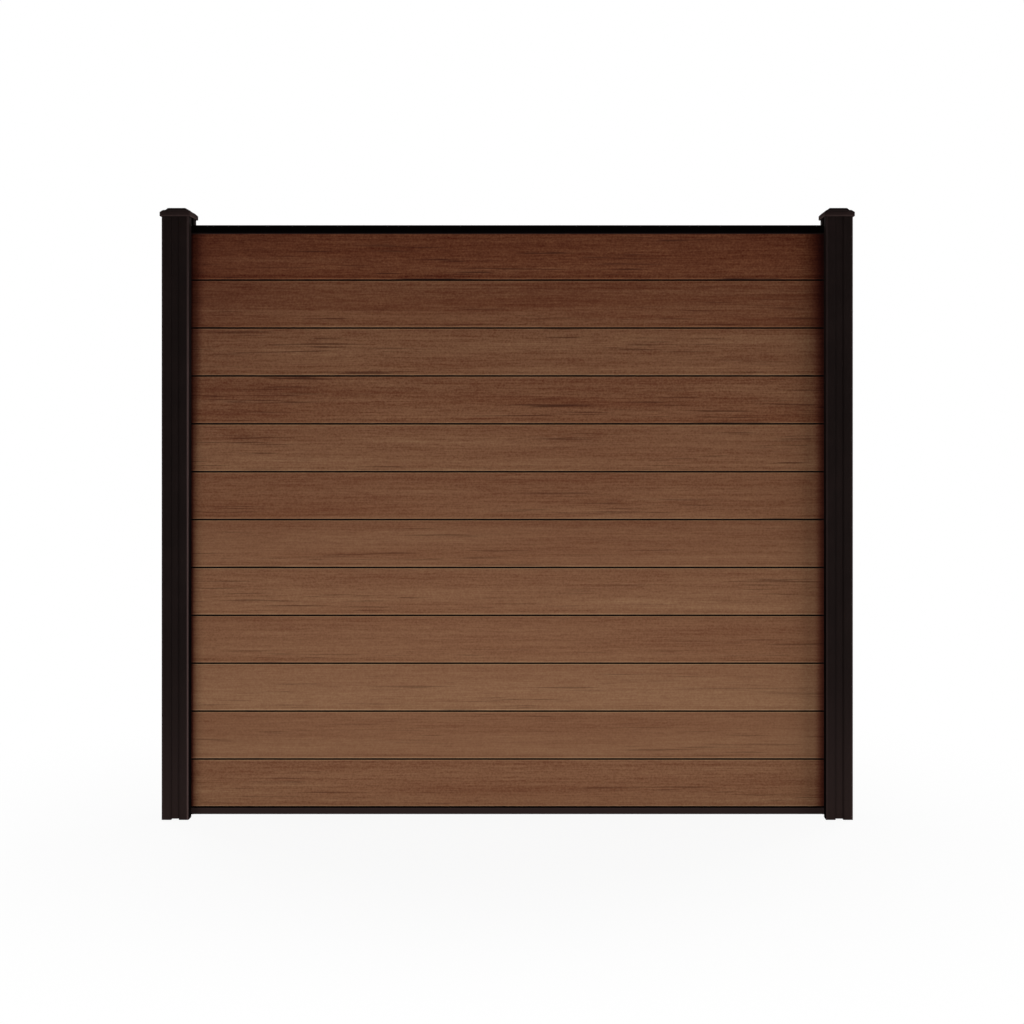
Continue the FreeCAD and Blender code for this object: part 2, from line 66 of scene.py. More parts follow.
# Section sizes that the boxes don't tell
SLOT_HALF = 12 * MM
SLOT_DEPTH = 16 * MM
POST_WALL = 2 * MM
POST_CORNER_RADIUS = 2.5 * MM
SLOT_LIP_RADIUS = 0.8 * MM
INNER_RADIUS = 0.5 * MM
JOINT_REVEAL = 4 * MM
TONGUE_HEIGHT = 12 * MM
TONGUE_ROOT = 4 * MM
TONGUE_TIP = 3.25 * MM
TONGUE_CLEARANCE = 0.6 * MM
LIP_RADIUS = 2.5 * MM
SHOULDER_RADIUS = 1.8 * MM
TONGUE_RADIUS = 1.2 * MM
CHAMBER_COUNT = 6
CHAMBER_HALF = 4.5 * MM
CHAMBER_WEB = 6 * MM
CHAMBER_SKIN = 6 * MM
CHAMBER_RADIUS = 2.2 * MM
RAIL_WALL = 1.6 * MM
RAIL_EDGE_RADIUS = 1.2 * MM
RAIL_LIP_RADIUS = 0.7 * MM
TOP_RAIL_LAP = 4 * MM
TOP_RAIL_CLEARANCE = 0.1 * MM
STRIP_WALL = 1.5 * MM
STRIP_EDGE_RADIUS = 0.6 * MM
GASKET_RADIUS = 0.85 * MM
BRACKET_WALL = 2 * MM
BRACKET_BEND = 1.5 * MM
CAP_WALL = 2.2 * MM
CAP_COVER = 11 * MM
CAP_SKIRT = 13 * MM
CAP_RIM = 4 * MM
CAP_SEAT = 7 * MM
CAP_CORNER_RADIUS = 2.5 * MM
CAP_EDGE_RADIUS = 1.1 * MM
# Steps of a cap: how far in and how far up each goes
CAP_BEVEL = (7.4 * MM, 7 * MM)
CAP_LEDGE = (6 * MM, 1.5 * MM)
CAP_CROWN = (6.2 * MM, 6.8 * MM)

# Where the picture was taken from: pixels of the 1024 px frame, and their size at the posts' front
FRAME_PIXELS = 1024
MIDDLE_PIXEL = 507.25
GROUND_PIXEL = 819.95
AXIS_PIXEL = (560, 410)
MM_PER_PIXEL = 3.106
CAMERA_DISTANCE = 3.876
SENSOR = 36

# Turns that carry a section, drawn across X and up Y, to the way it lies in the panel
ALONG_X = Matrix(((0, 0, 1, 0), (1, 0, 0, 0), (0, 1, 0, 0), (0, 0, 0, 1)))
ACROSS_Y = Matrix(((1, 0, 0, 0), (0, 0, -1, 0), (0, 1, 0, 0), (0, 0, 0, 1)))


# Node trees


class Wire:
    """An output socket of a node tree. An expression of wires and numbers adds its Math nodes."""

    def __init__(self, tree, socket):
        self.tree = tree
        self.socket = socket

    def __getitem__(self, output):
        return Wire(self.tree, self.socket.node.outputs[output])

    def __add__(self, other):
        return self.tree.math("ADD", self, other)

    def __sub__(self, other):
        return self.tree.math("SUBTRACT", self, other)

    def __rsub__(self, other):
        return self.tree.math("SUBTRACT", other, self)

    def __mul__(self, other):
        return self.tree.math("MULTIPLY", self, other)

    def __truediv__(self, other):
        return self.tree.math("DIVIDE", self, other)

    def __gt__(self, other):
        return self.tree.math("GREATER_THAN", self, other)

    def __lt__(self, other):
        return self.tree.math("LESS_THAN", self, other)

    __radd__ = __add__
    __rmul__ = __mul__


# Sockets of a Mix node that mixes colours: its share, its two colours and what comes out
MIX_SHARE, MIX_FIRST, MIX_SECOND, MIX_RESULT = 0, 6, 7, 2


class Tree:
    """Writes the nodes of one material, world or geometry group."""

    def __init__(self, owner):
        self.nodes = owner.nodes
        self.links = owner.links

    def add(self, kind, settings=None, inputs=None, output=0):
        """One node: its settings, then its sockets' values or links. Gives back one of its outputs."""
        node = self.nodes.new(kind)
        for name, value in (settings or {}).items():
            setattr(node, name, value)
        for name, value in (inputs or {}).items():
            for item in value if isinstance(value, list) else [value]:
                if isinstance(item, Wire):
                    self.links.new(item.socket, node.inputs[name])
                else:
                    node.inputs[name].default_value = item
        return Wire(self, node.outputs[output]) if len(node.outputs) else node

    def math(self, operation, *values):
        return self.add("ShaderNodeMath", {"operation": operation}, dict(enumerate(values)))

    def vector_math(self, operation, *vectors, output=0):
        return self.add("ShaderNodeVectorMath", {"operation": operation}, dict(enumerate(vectors)), output)

    def split(self, vector):
        parts = self.add("ShaderNodeSeparateXYZ", inputs={0: vector})
        return parts["X"], parts["Y"], parts["Z"]

    def joined(self, x, y, z):
        return self.add("ShaderNodeCombineXYZ", inputs={0: x, 1: y, 2: z})

    def noise(self, x, y, z, detail=2.0, roughness=0.5):
        """Smooth noise from 0 to 1 whose features are about one unit of the given coordinates long."""
        values = {"Vector": self.joined(x, y, z), "Scale": 1.0, "Detail": detail, "Roughness": roughness}
        return self.add("ShaderNodeTexNoise", {"noise_dimensions": "3D"}, values)

    def step(self, value, low, high):
        """Eases from 0 at low to 1 at high."""
        values = {"Value": value, "From Min": low, "From Max": high}
        return self.add("ShaderNodeMapRange", {"interpolation_type": "SMOOTHSTEP"}, values)

    def blend(self, share, first, second, mode="MIX"):
        """Mixes two colours."""
        settings = {"data_type": "RGBA", "blend_type": mode}
        values = {MIX_SHARE: share, MIX_FIRST: first, MIX_SECOND: second}
        return self.add("ShaderNodeMix", settings, values, MIX_RESULT)


def colour(red, green, blue):
    """A linear colour from its display values of 0 to 255."""

    def linear(value):
        share = value / 255
        return share / 12.92 if share <= 0.04045 else ((share + 0.055) / 1.055) ** 2.4

    return (linear(red), linear(green), linear(blue), 1.0)


# Finishes

# Waves per metre of the lines in a coat, along and across the way the metal was drawn
VERTICAL_DRAW = (620.0, 620.0, 1.1)
LENGTHWISE_DRAW = (1.1, 620.0, 620.0)


def new_material(name):
    material = bpy.data.materials.new(name)
    material.use_nodes = True
    material.node_tree.nodes.clear()
    return material, Tree(material.node_tree)


def close_material(tree, constants, varying, bump=None):
    """Ends a material in one Principled shader. A bump is a height in metres."""
    values = dict(constants)
    values.update(varying)
    if bump is not None:
        heights = {"Distance": 1.0, "Strength": 1.0, "Height": bump}
        values["Normal"] = tree.add("ShaderNodeBump", inputs=heights)
    shader = tree.add("ShaderNodeBsdfPrincipled", inputs=values)
    tree.add("ShaderNodeOutputMaterial", inputs={"Surface": shader})


# Waves per metre of the board's grain: along the board, across its thickness, up its face
SPECK_WAVES = (170.0, 170.0, 190.0)
HAIR_WAVES = (24.0, 60.0, 340.0)
FIBRE_WAVES = (6.0, 60.0, 250.0)
THREAD_WAVES = (2.0, 60.0, 120.0)
DRIFT_WAVES = (1.0, 30.0, 16.0)
STREAK_WAVES = (4.0, 60.0, 200.0)
CLUSTER_WAVES = (1.6, 30.0, 11.0)
BEND_WAVES = (1.2, 8.0, 5.0)
# How far the grain bends up and down, and how far along it moves from board to board
BEND_HEIGHT = 8 * MM
BOARD_SHIFT = 7.31

# From where to where the noise becomes a streak and a cluster of streaks
STREAK_LEVELS = (0.09, 0.2)
CLUSTER_LEVELS = (-0.06, 0.1)
# How much the clusters keep low on a board
LOW_STREAKS = 0.25


def board_grain(tree, position, number):
    """The grain of the composite, the same in the boards' relief and in their finish."""
    along, across, up = tree.split(position)
    rise = (up - board_low.z) / BOARD_COVER - number
    along = along + number * BOARD_SHIFT
    bend = tree.noise(*(value * waves for value, waves in zip((along, across, up), BEND_WAVES)))
    up = up + (bend - 0.5) * BEND_HEIGHT

    def field(waves, detail):
        return tree.noise(along * waves[0], across * waves[1], up * waves[2], detail) - 0.5

    streak = tree.step(field(STREAK_WAVES, 2.0), *STREAK_LEVELS)
    cluster = tree.step(field(CLUSTER_WAVES, 1.0) + (0.5 - rise) * LOW_STREAKS, *CLUSTER_LEVELS)
    return {
        "speck": field(SPECK_WAVES, 1.0),
        "hair": field(HAIR_WAVES, 1.0),
        "fibre": field(FIBRE_WAVES, 1.0),
        "thread": field(THREAD_WAVES, 2.0),
        "drift": field(DRIFT_WAVES, 2.0),
        "streak": streak * cluster,
        "rise": rise,
    }


# How much of each part of the grain goes into a board's tone, shade, roughness and relief in millimetres
TONE_GRAIN = {"drift": 0.55, "thread": 0.3}
SHADE_GRAIN = {"speck": 0.6, "hair": 0.45, "fibre": 0.35, "thread": 0.22, "drift": 0.16}
ROUGH_GRAIN = {"fibre": 0.2, "streak": 0.06}
RELIEF_GRAIN = {"fibre": 0.12, "hair": 0.08, "speck": 0.05, "streak": -0.1}


def weighed(grain, shares):
    """The parts of the grain added up by their shares."""
    first, *others = (grain[name] * share for name, share in shares.items())
    for other in others:
        first = first + other
    return first


TAN = colour(125, 90, 65)
RUSSET = colour(95, 53, 33)
STREAK_BROWN = colour(60, 31, 20)
JOINT_SHADE_BROWN = colour(6, 4, 3)
# How deep in from the faces the painted shade of the joints begins and is all dark
JOINT_DEPTH = (0.3 * MM, 1.0 * MM)
# From where to where the tone goes from all russet to all tan
TONE_RANGE = (-0.1, 1.1)
# How strong the figure and the streaks are on a russet board, and how much the streaks lose on a tan one
FIGURE_STRENGTH = 1.75
STREAK_STRENGTH = (0.86, 0.5)
# A darker fibre is also a redder one, and so is a board in the painted shade at its ends
SHADE_SHARES = (0.75, 1.13, 1.22)
END_SHADE_REDNESS = 1.5
BOARD_ROUGHNESS = 0.7
BOARD_GLOSS = 0.06
# How far the face darkens from its lip to its shoulder, and how strong the painted highlight on its lip and
# shoulder edges is
RISE_SHADE = 0.22
EDGE_HIGHLIGHT = 0.6
# A darker band over the lip: where it begins, is whole, fades and ends, as shares of the board's cover
LIP_BAND = (0.03, 0.05, 0.065, 0.12)
# How dark that band is, and how much darker on the most russet board
LIP_SHADE = (0.12, 0.3)
# Between which tones that extra dark fades
RUSSET_RANGE = (0.0, 0.25)
# Painted shade at the boards' ends, where the posts shadow them: how dark, from where to where along, how
# much sooner and darker at the top
LEFT_END_SHADE = (0.6, 0.972, 0.99, 0.045, -0.3)
RIGHT_END_SHADE = (0.8, 0.955, 0.992, 0.029, 0.15)
# Painted contact shade on the last bit before the left slot: how dark, and from where to where
SLOT_SHADE = (0.6, 0.983, 0.989)
# Painted shade also makes the upper left boards a little darker towards their ends
CORNER_SHADE = (0.19, 0.55, 0.95)
# From where up the panel the painted shade at the ends reaches further in
END_SHADE_HEIGHT = (1.0, 1.9)


def composite_finish():
    """Brushed wood-plastic: grain on a drifting brown, painted shade in the joints and at the ends, and
    painted highlights on the edges.
    """
    material, tree = new_material("brushed_composite")
    position = tree.add("ShaderNodeTexCoord", output="Object")
    number = tree.add("ShaderNodeAttribute", {"attribute_name": "board_number"}, output="Fac")
    tone = tree.add("ShaderNodeAttribute", {"attribute_name": "board_tone"}, output="Fac")
    lively = tree.add("ShaderNodeAttribute", {"attribute_name": "board_figure"}, output="Fac")
    edge = tree.add("ShaderNodeAttribute", {"attribute_name": "edge"}, output="Fac")
    grain = board_grain(tree, position, number)
    tan_share = tone + weighed(grain, TONE_GRAIN) * lively
    base = tree.blend(tree.step(tan_share, *TONE_RANGE), RUSSET, TAN)
    figure = weighed(grain, SHADE_GRAIN) * (FIGURE_STRENGTH - tone) * lively
    along, across, up = tree.split(position)
    rise = grain["rise"]
    # edge brings a painted highlight onto the lip and shoulder rounds
    shade = figure + (0.5 - rise) * RISE_SHADE + edge * EDGE_HIGHLIGHT
    band = tree.step(rise, *LIP_BAND[:2]) * (1 - tree.step(rise, *LIP_BAND[2:]))
    shade = shade - band * (LIP_SHADE[0] + (1 - tree.step(tone, *RUSSET_RANGE)) * LIP_SHADE[1])
    base = tree.blend(1.0, base, tree.joined(*(1 + shade * share for share in SHADE_SHARES)), "MULTIPLY")
    streak = grain["streak"] * (STREAK_STRENGTH[0] - tone * STREAK_STRENGTH[1]) * lively
    base = tree.blend(streak, base, STREAK_BROWN)
    # Painted shade where the posts shadow the boards' ends, redder as it deepens
    height = tree.step(up, *END_SHADE_HEIGHT)
    end_shade = tree.step(along * -1, *CORNER_SHADE[1:]) * height * CORNER_SHADE[0]
    for way, (dark, start, end, sooner, darker) in ((-1, LEFT_END_SHADE), (1, RIGHT_END_SHADE)):
        end_shade = end_shade + tree.step(along * way, start - height * sooner, end) * (height * darker + 1) * dark
    slot_shade = tree.step(along * -1, *SLOT_SHADE[1:]) * SLOT_SHADE[0]
    unshaded = (1 - end_shade) * (1 - slot_shade)
    deep = tree.math("POWER", unshaded, END_SHADE_REDNESS)
    base = tree.blend(1.0, base, tree.joined(unshaded, deep, deep), "MULTIPLY")
    # Painted shade in the joints: whatever lies deeper than the front and back faces goes near black
    inside = BOARD_HALF - tree.math("ABSOLUTE", across)
    base = tree.blend(tree.step(inside, *JOINT_DEPTH), base, JOINT_SHADE_BROWN)
    varying = {"Base Color": base, "Roughness": BOARD_ROUGHNESS + weighed(grain, ROUGH_GRAIN)}
    close_material(tree, {"Specular IOR Level": BOARD_GLOSS}, varying, weighed(grain, RELIEF_GRAIN) * MM)
    return material


COAT_BROWN = colour(23, 17, 16)
CAP_BROWN = colour(34, 25, 24)
# Pale brown of the caps' painted edge highlights
CAP_HIGHLIGHT_BROWN = colour(66, 52, 50)
RAIL_BROWN = colour(32, 24, 23)
# The top rail's coat and its worn edges are drawn near black, painted shade for the shadow its face is in
TOP_RAIL_SHADE_BLACK = colour(3, 2, 2)
TOP_RAIL_SHADE_WORN = colour(16, 12, 11)
# Pale brown for wear, dust and clouds, and for the painted highlight on the top rail's lower edge
COAT_WORN_AND_HIGHLIGHT = colour(52, 40, 38)
# Pale brown of the posts' rubbed corners and of their painted highlight
COAT_RUB_HIGHLIGHT = colour(96, 77, 75)
# Near black for painted shade: the slots' seams, the faces beside the boards, the rails' joints and the
# caps' ledges
PAINTED_SHADE_BLACK = colour(3, 2, 2)

# Posts: how far in from the faces a corner starts and is whole
POST_CORNER_ZONE = (8 * MM, 4 * MM)
# How pale every corner is rubbed, and how much painted highlight the left post's inner corner gets on top
# of that
CORNER_RUB_AND_HIGHLIGHT = (0.2, 0.8)
# How dark the painted shadow lines in the seams along the slots are; those lines, and the corners' rubbing
# and painted highlight, fade from a height up to the post's top
SEAM_SHADE = 0.45
POST_FADE = (0.8, 1.2)
# Painted shade on the faces beside the boards: how dark, how much less higher up, and from where to where
INNER_FACE_SHADE = (0.95, 0.6, 0.5, 1.6)
# How deep behind those faces the painted shade begins to fade and ends
INNER_FACE_SHADE_EDGE = (0.2 * MM, 1.2 * MM)

# Rails: how worn their edges are, and how deep in the painted shade of the joint to the boards starts and
# is black
RAIL_WEAR = 0.6
RAIL_JOINT_SHADE = (0.8 * MM, 1.8 * MM)
# How dusty the top rail's upper face is and how strong the painted highlight on its lower edge is, with the
# height of each
RAIL_DUST = (0.5, 0.6 * MM)
TOP_RAIL_LIP_HIGHLIGHT = (0.55, 5 * MM)


def post_marks(tree, base, position, edge):
    """Rubbed corners with a painted highlight, painted shadow lines along the slots, and painted shade on
    the faces beside the boards.
    """
    across, deep, up = tree.split(position)
    off = tree.math("ABSOLUTE", tree.math("ABSOLUTE", across) - POST_AXIS["right"])
    far = tree.math("MINIMUM", off, tree.math("ABSOLUTE", deep))
    corner = tree.step(far, *(POST_HALF - inset for inset in POST_CORNER_ZONE))
    fading = 1 - tree.step(up, POST_FADE[1], POST_HEIGHT) * POST_FADE[0]
    # A painted highlight on the left post's inner corner, weaker higher up
    left_inner_highlight = (across > POST_AXIS["left"]) * (across < 0) * fading
    base = tree.blend(edge * corner * (CORNER_RUB_AND_HIGHLIGHT[0] + left_inner_highlight * CORNER_RUB_AND_HIGHLIGHT[1]), base, COAT_RUB_HIGHLIGHT)
    # Painted shadow lines along the lips of the slots
    base = tree.blend(edge * (1 - corner) * fading * SEAM_SHADE, base, PAINTED_SHADE_BLACK)
    # Painted shade on the faces beside the boards, darkest low down
    inner_face = POST_AXIS["right"] - POST_HALF
    inner = 1 - tree.step(tree.math("ABSOLUTE", across), *(inner_face + inset for inset in INNER_FACE_SHADE_EDGE))
    dark, less, start, end = INNER_FACE_SHADE
    return tree.blend(inner * (dark - tree.step(up, start, end) * less), base, PAINTED_SHADE_BLACK)


def rail_marks(tree, base, position, edge, worn):
    """Worn edges, painted shade in the joint to the boards, a painted highlight on the top rail's lower
    edge, and dust on its upper face.
    """
    _, deep, up = tree.split(position)
    base = tree.blend(edge * RAIL_WEAR, base, worn)
    # A painted highlight along the top rail's lower edge
    on_top_rail = up > POST_HEIGHT / 2
    lip = on_top_rail * (1 - tree.step(up - top_rail_low.z, 0.0, TOP_RAIL_LIP_HIGHLIGHT[1]))
    base = tree.blend(lip * TOP_RAIL_LIP_HIGHLIGHT[0], base, COAT_WORN_AND_HIGHLIGHT)
    # Painted shade in the joint to the boards
    half = (bottom_rail_high.y - bottom_rail_low.y) / 2
    base = tree.blend(tree.step(half - tree.math("ABSOLUTE", deep), *RAIL_JOINT_SHADE), base, PAINTED_SHADE_BLACK)
    dust = tree.step(up, top_rail_high.z - RAIL_DUST[1], top_rail_high.z)
    return tree.blend(dust * RAIL_DUST[0], base, COAT_WORN_AND_HIGHLIGHT)


# Coats: waves per metre of the orange peel and the clouds
COAT_PEEL_WAVES = 850
COAT_CLOUD_WAVES = 9
# How far the clouds and the draw lines pale the brown and change its roughness
CLOUD_RANGE = (0.3, 0.8)
CLOUD_PALE = 0.12
LINE_PALE = 0.06
CLOUD_ROUGH = 0.2
LINE_ROUGH = 0.1
# Paler towards the foot: how pale, from where to where up, and how uneven
FOOT_PALING = (0.4, -0.05, 0.55, 0.2)
COAT_ROUGHNESS = 0.78
COAT_GLOSS = 0.015
TOP_RAIL_GLOSS = 0.005
COAT_PEEL = 0.035 * MM
COAT_LINE = 0.012 * MM


def coat_finish(name, drawn, brown=COAT_BROWN, worn=COAT_WORN_AND_HIGHLIGHT, gloss=COAT_GLOSS):
    """A satin powder coat. Its faint lines run the way the metal was drawn."""
    material, tree = new_material(name)
    position = tree.add("ShaderNodeTexCoord", output="Object")
    along = tree.split(position)
    lines = tree.noise(*(value * waves for value, waves in zip(along, drawn)), 1.0)
    peel = tree.noise(*(value * COAT_PEEL_WAVES for value in along), 1.0)
    cloud = tree.noise(*(value * COAT_CLOUD_WAVES for value in along), 3.0)
    edge = tree.add("ShaderNodeAttribute", {"attribute_name": "edge"}, output="Fac")
    base = tree.blend(tree.step(cloud, *CLOUD_RANGE) * CLOUD_PALE + lines * LINE_PALE, brown, worn)
    # The coat goes paler towards the foot
    pale, start, end, uneven = FOOT_PALING
    dust = 1 - tree.step(along[2] + (cloud - 0.5) * uneven, start, end)
    base = tree.blend(dust * pale, base, worn)
    if drawn == VERTICAL_DRAW:
        base = post_marks(tree, base, position, edge)
    else:
        base = rail_marks(tree, base, position, edge, worn)
    roughness = COAT_ROUGHNESS + (cloud - 0.5) * CLOUD_ROUGH + (lines - 0.5) * LINE_ROUGH
    varying = {"Base Color": base, "Roughness": roughness}
    close_material(tree, {"Specular IOR Level": gloss}, varying, peel * COAT_PEEL + lines * COAT_LINE)
    return material


# Caps: cells and waves per metre of the moulded grain, and how strong its clouds, painted edge highlights
# and painted ledge shade are
CAP_GRAIN_CELLS = 700.0
CAP_CLOUD_WAVES = 40
CAP_CLOUD_PALE = 0.3
CAP_HIGHLIGHT = 0.6
CAP_LEDGE_SHADE = 0.8
CAP_ROUGHNESS = 0.8
CAP_GRAIN = 0.06 * MM


def cap_finish():
    """Moulded plastic with a fine leather-like grain."""
    material, tree = new_material("moulded_cap")
    position = tree.add("ShaderNodeTexCoord", output="Object")
    along = tree.split(position)
    cells = {"Vector": position, "Scale": CAP_GRAIN_CELLS}
    spark = tree.add("ShaderNodeTexVoronoi", {"feature": "F1"}, cells)
    cloud = tree.noise(*(value * CAP_CLOUD_WAVES for value in along), 3.0)
    edge = tree.add("ShaderNodeAttribute", {"attribute_name": "edge"}, output="Fac")
    base = tree.blend(tree.step(cloud, *CLOUD_RANGE) * CAP_CLOUD_PALE, CAP_BROWN, COAT_WORN_AND_HIGHLIGHT)
    # Painted highlights on the caps' edges, and painted shade at the ledge where the edge value is below 0
    base = tree.blend(edge * CAP_HIGHLIGHT, base, CAP_HIGHLIGHT_BROWN)
    base = tree.blend(edge * -CAP_LEDGE_SHADE, base, PAINTED_SHADE_BLACK)
    varying = {"Base Color": base, "Roughness": CAP_ROUGHNESS + (cloud - 0.5) * CLOUD_ROUGH}
    close_material(tree, {"Specular IOR Level": COAT_GLOSS}, varying, spark * CAP_GRAIN)
    return material


RUBBER_BLACK = colour(12, 12, 12)
RUBBER_DUSTY = colour(36, 34, 32)
# Dust on the rubber: waves per metre, how pale, from where to where in its noise, and how rough
RUBBER_DUST_WAVES = 60
RUBBER_DUST = (0.3, 0.4, 0.9)
RUBBER_DUST_ROUGH = 0.2
RUBBER_GLOSS = 0.2
RUBBER_ROUGHNESS = 0.7
RUBBER_GRAIN = 0.05 * MM


def rubber_finish():
    """Black rubber with a little dust."""
    material, tree = new_material("black_gasket")
    along = tree.split(tree.add("ShaderNodeTexCoord", output="Object"))
    dust = tree.noise(*(value * RUBBER_DUST_WAVES for value in along), 3.0)
    base = tree.blend(tree.step(dust, *RUBBER_DUST[1:]) * RUBBER_DUST[0], RUBBER_BLACK, RUBBER_DUSTY)
    varying = {"Base Color": base, "Roughness": RUBBER_ROUGHNESS + dust * RUBBER_DUST_ROUGH}
    close_material(tree, {"Specular IOR Level": RUBBER_GLOSS}, varying, dust * RUBBER_GRAIN)
    return material


SHEET_ZINC = (colour(118, 119, 121), colour(80, 82, 85), 0.55)
SCREW_ZINC = (colour(140, 142, 144), colour(100, 102, 105), 0.42)
CRYSTALS_PER_METRE = 260.0
CRYSTAL_SHEEN = 0.18
CRYSTAL_RELIEF = 0.01 * MM


def steel_finish(name, pale, dark, rough):
    """Zinc-coated steel with the crystals of its coating."""
    material, tree = new_material(name)
    position = tree.add("ShaderNodeTexCoord", output="Object")
    cells = {"Vector": position, "Scale": CRYSTALS_PER_METRE}
    crystal = tree.add("ShaderNodeTexVoronoi", {"feature": "F1"}, cells, output="Color")
    shade = tree.split(crystal)[0]
    base = tree.blend(shade, dark, pale)
    varying = {"Base Color": base, "Roughness": rough + (shade - 0.5) * CRYSTAL_SHEEN}
    close_material(tree, {"Metallic": 1.0}, varying, shade * CRYSTAL_RELIEF)
    return material


# Drawn sections


CORNER_STEPS = 5
SMOOTH_ANGLE = math.radians(32)
MERGE_GAP = 0.01 * MM
# A corner that turns further than this is marked as an edge, for wear, painted highlights and painted
# shadow lines
EDGE_TURN = math.radians(4)


def new_group(name, inputs):
    """A geometry group with named inputs, and its node writer."""
    group = bpy.data.node_groups.new(name, "GeometryNodeTree")
    for label, kind in inputs:
        group.interface.new_socket(label, in_out="INPUT", socket_type=kind)
    group.interface.new_socket("Piece", in_out="OUTPUT", socket_type="NodeSocketGeometry")
    return group, Tree(group)


def close_group(tree, geometry, finish):
    """Ends a geometry group: smooth faces with sharp edges, no instances, and the piece's finish."""
    smoothing = {"Geometry": geometry, "Shade Smooth": True}
    smooth = tree.add("GeometryNodeSetShadeSmooth", {"domain": "FACE"}, smoothing)
    angle = tree.add("GeometryNodeInputMeshEdgeAngle")
    crease = {"Geometry": smooth, "Selection": angle > SMOOTH_ANGLE, "Shade Smooth": False}
    creased = tree.add("GeometryNodeSetShadeSmooth", {"domain": "EDGE"}, crease)
    real = tree.add("GeometryNodeRealizeInstances", inputs={"Geometry": creased})
    finished = tree.add("GeometryNodeSetMaterial", inputs={"Geometry": real, "Material": finish})
    tree.add("NodeGroupOutput", inputs={"Piece": finished})


def drawn_section_group():
    """Rounds the corners of a drawn section, divides its long sides, and draws it out along Z."""
    group, tree = new_group(
        "drawn_section",
        (
            ("Section", "NodeSocketGeometry"),
            ("Length", "NodeSocketFloat"),
            ("Face Step", "NodeSocketFloat"),
            ("Length Steps", "NodeSocketInt"),
            ("Finish", "NodeSocketMaterial"),
        ),
    )
    ask = tree.add("NodeGroupInput")
    radius = tree.add("GeometryNodeInputRadius")
    rounding = {"Curve": ask["Section"], "Count": CORNER_STEPS, "Radius": radius, "Limit Radius": True}
    rounded = tree.add("GeometryNodeFilletCurve", {"mode": "POLY"}, rounding)

    position = tree.add("GeometryNodeInputPosition")
    index = tree.add("GeometryNodeInputIndex")

    def neighbour(offset):
        values = {"Point Index": index, "Offset": offset}
        other = tree.add("GeometryNodeOffsetPointInCurve", inputs=values, output="Point Index")
        settings = {"data_type": "FLOAT_VECTOR", "domain": "POINT"}
        return tree.add("GeometryNodeFieldAtIndex", settings, {"Value": position, "Index": other})

    following, previous = neighbour(1), neighbour(-1)
    side = tree.vector_math("DISTANCE", position, following, output="Value")
    cuts = tree.math("FLOOR", side / ask["Face Step"])
    divided = tree.add("GeometryNodeSubdivideCurve", inputs={"Curve": rounded, "Cuts": cuts})

    come = tree.vector_math("NORMALIZE", tree.vector_math("SUBTRACT", position, previous))
    leave = tree.vector_math("NORMALIZE", tree.vector_math("SUBTRACT", following, position))
    turn = tree.split(tree.vector_math("CROSS_PRODUCT", come, leave))[2]
    worn = {"Geometry": divided, "Name": "edge", "Value": turn > math.sin(EDGE_TURN)}
    marked = tree.add("GeometryNodeStoreNamedAttribute", {"data_type": "FLOAT", "domain": "POINT"}, worn)

    end = tree.joined(0.0, 0.0, ask["Length"])
    path = tree.add("GeometryNodeCurvePrimitiveLine", inputs={"Start": (0, 0, 0), "End": end})
    path = tree.add("GeometryNodeResampleCurve", inputs={"Curve": path, "Count": ask["Length Steps"] + 1})
    sweep = {"Curve": path, "Profile Curve": marked, "Fill Caps": False}
    walls = tree.add("GeometryNodeCurveToMesh", inputs=sweep)
    far_end = tree.add("GeometryNodeFillCurve", {"mode": "TRIANGLES"}, {"Curve": marked})
    near_end = tree.add("GeometryNodeFlipFaces", inputs={"Mesh": far_end})
    far_end = tree.add("GeometryNodeTransform", inputs={"Geometry": far_end, "Translation": end})
    shell = tree.add("GeometryNodeJoinGeometry", inputs={"Geometry": [walls, far_end, near_end]})
    shell = tree.add("GeometryNodeMergeByDistance", inputs={"Geometry": shell, "Distance": MERGE_GAP})
    close_group(tree, shell, ask["Finish"])
    return group


def run_group(carrier, group, values):
    """The plain mesh that a geometry group makes on an object, which is then deleted."""
    modifier = carrier.modifiers.new(group.name, "NODES")
    modifier.node_group = group
    sockets = {item.name: item.identifier for item in group.interface.items_tree if item.in_out == "INPUT"}
    for name, value in values.items():
        modifier[sockets[name]] = value
    bpy.context.scene.collection.objects.link(carrier)
    bpy.context.view_layer.update()
    graph = bpy.context.evaluated_depsgraph_get()
    mesh = bpy.data.meshes.new_from_object(carrier.evaluated_get(graph))
    carrier.modifiers.remove(modifier)
    bpy.data.objects.remove(carrier)
    mesh.materials.clear()
    mesh.materials.append(values["Finish"])
    mesh.polygons.foreach_set("material_index", [0] * len(mesh.polygons))
    return mesh


def section_curve(outlines):
    """A curve object with one closed outline for each list of (across, up, corner radius)."""
    curve = bpy.data.curves.new("section", "CURVE")
    curve.dimensions = "3D"
    for corners in outlines:
        spline = curve.splines.new("POLY")
        spline.points.add(len(corners) - 1)
        spline.use_cyclic_u = True
        for point, (across, up, radius) in zip(spline.points, corners):
            point.co = (across, up, 0.0, 1.0)
            point.radius = radius
    return bpy.data.objects.new("section", curve)


def drawn_mesh(outlines, length, finish, face_step, length_steps=1):
    """A section drawn out to a length."""
    values = {"Length": length, "Face Step": face_step, "Length Steps": length_steps, "Finish": finish}
    return run_group(section_curve(outlines), DRAWN_SECTION, values)


def mirrored(right):
    """A whole outline, anticlockwise, from its right half, which runs from the bottom up."""
    return right + [(-across, up, radius) for across, up, radius in reversed(right)]


def hole(corners):
    """An outline turned round, so that its wall faces into the hole."""
    return list(reversed(corners))


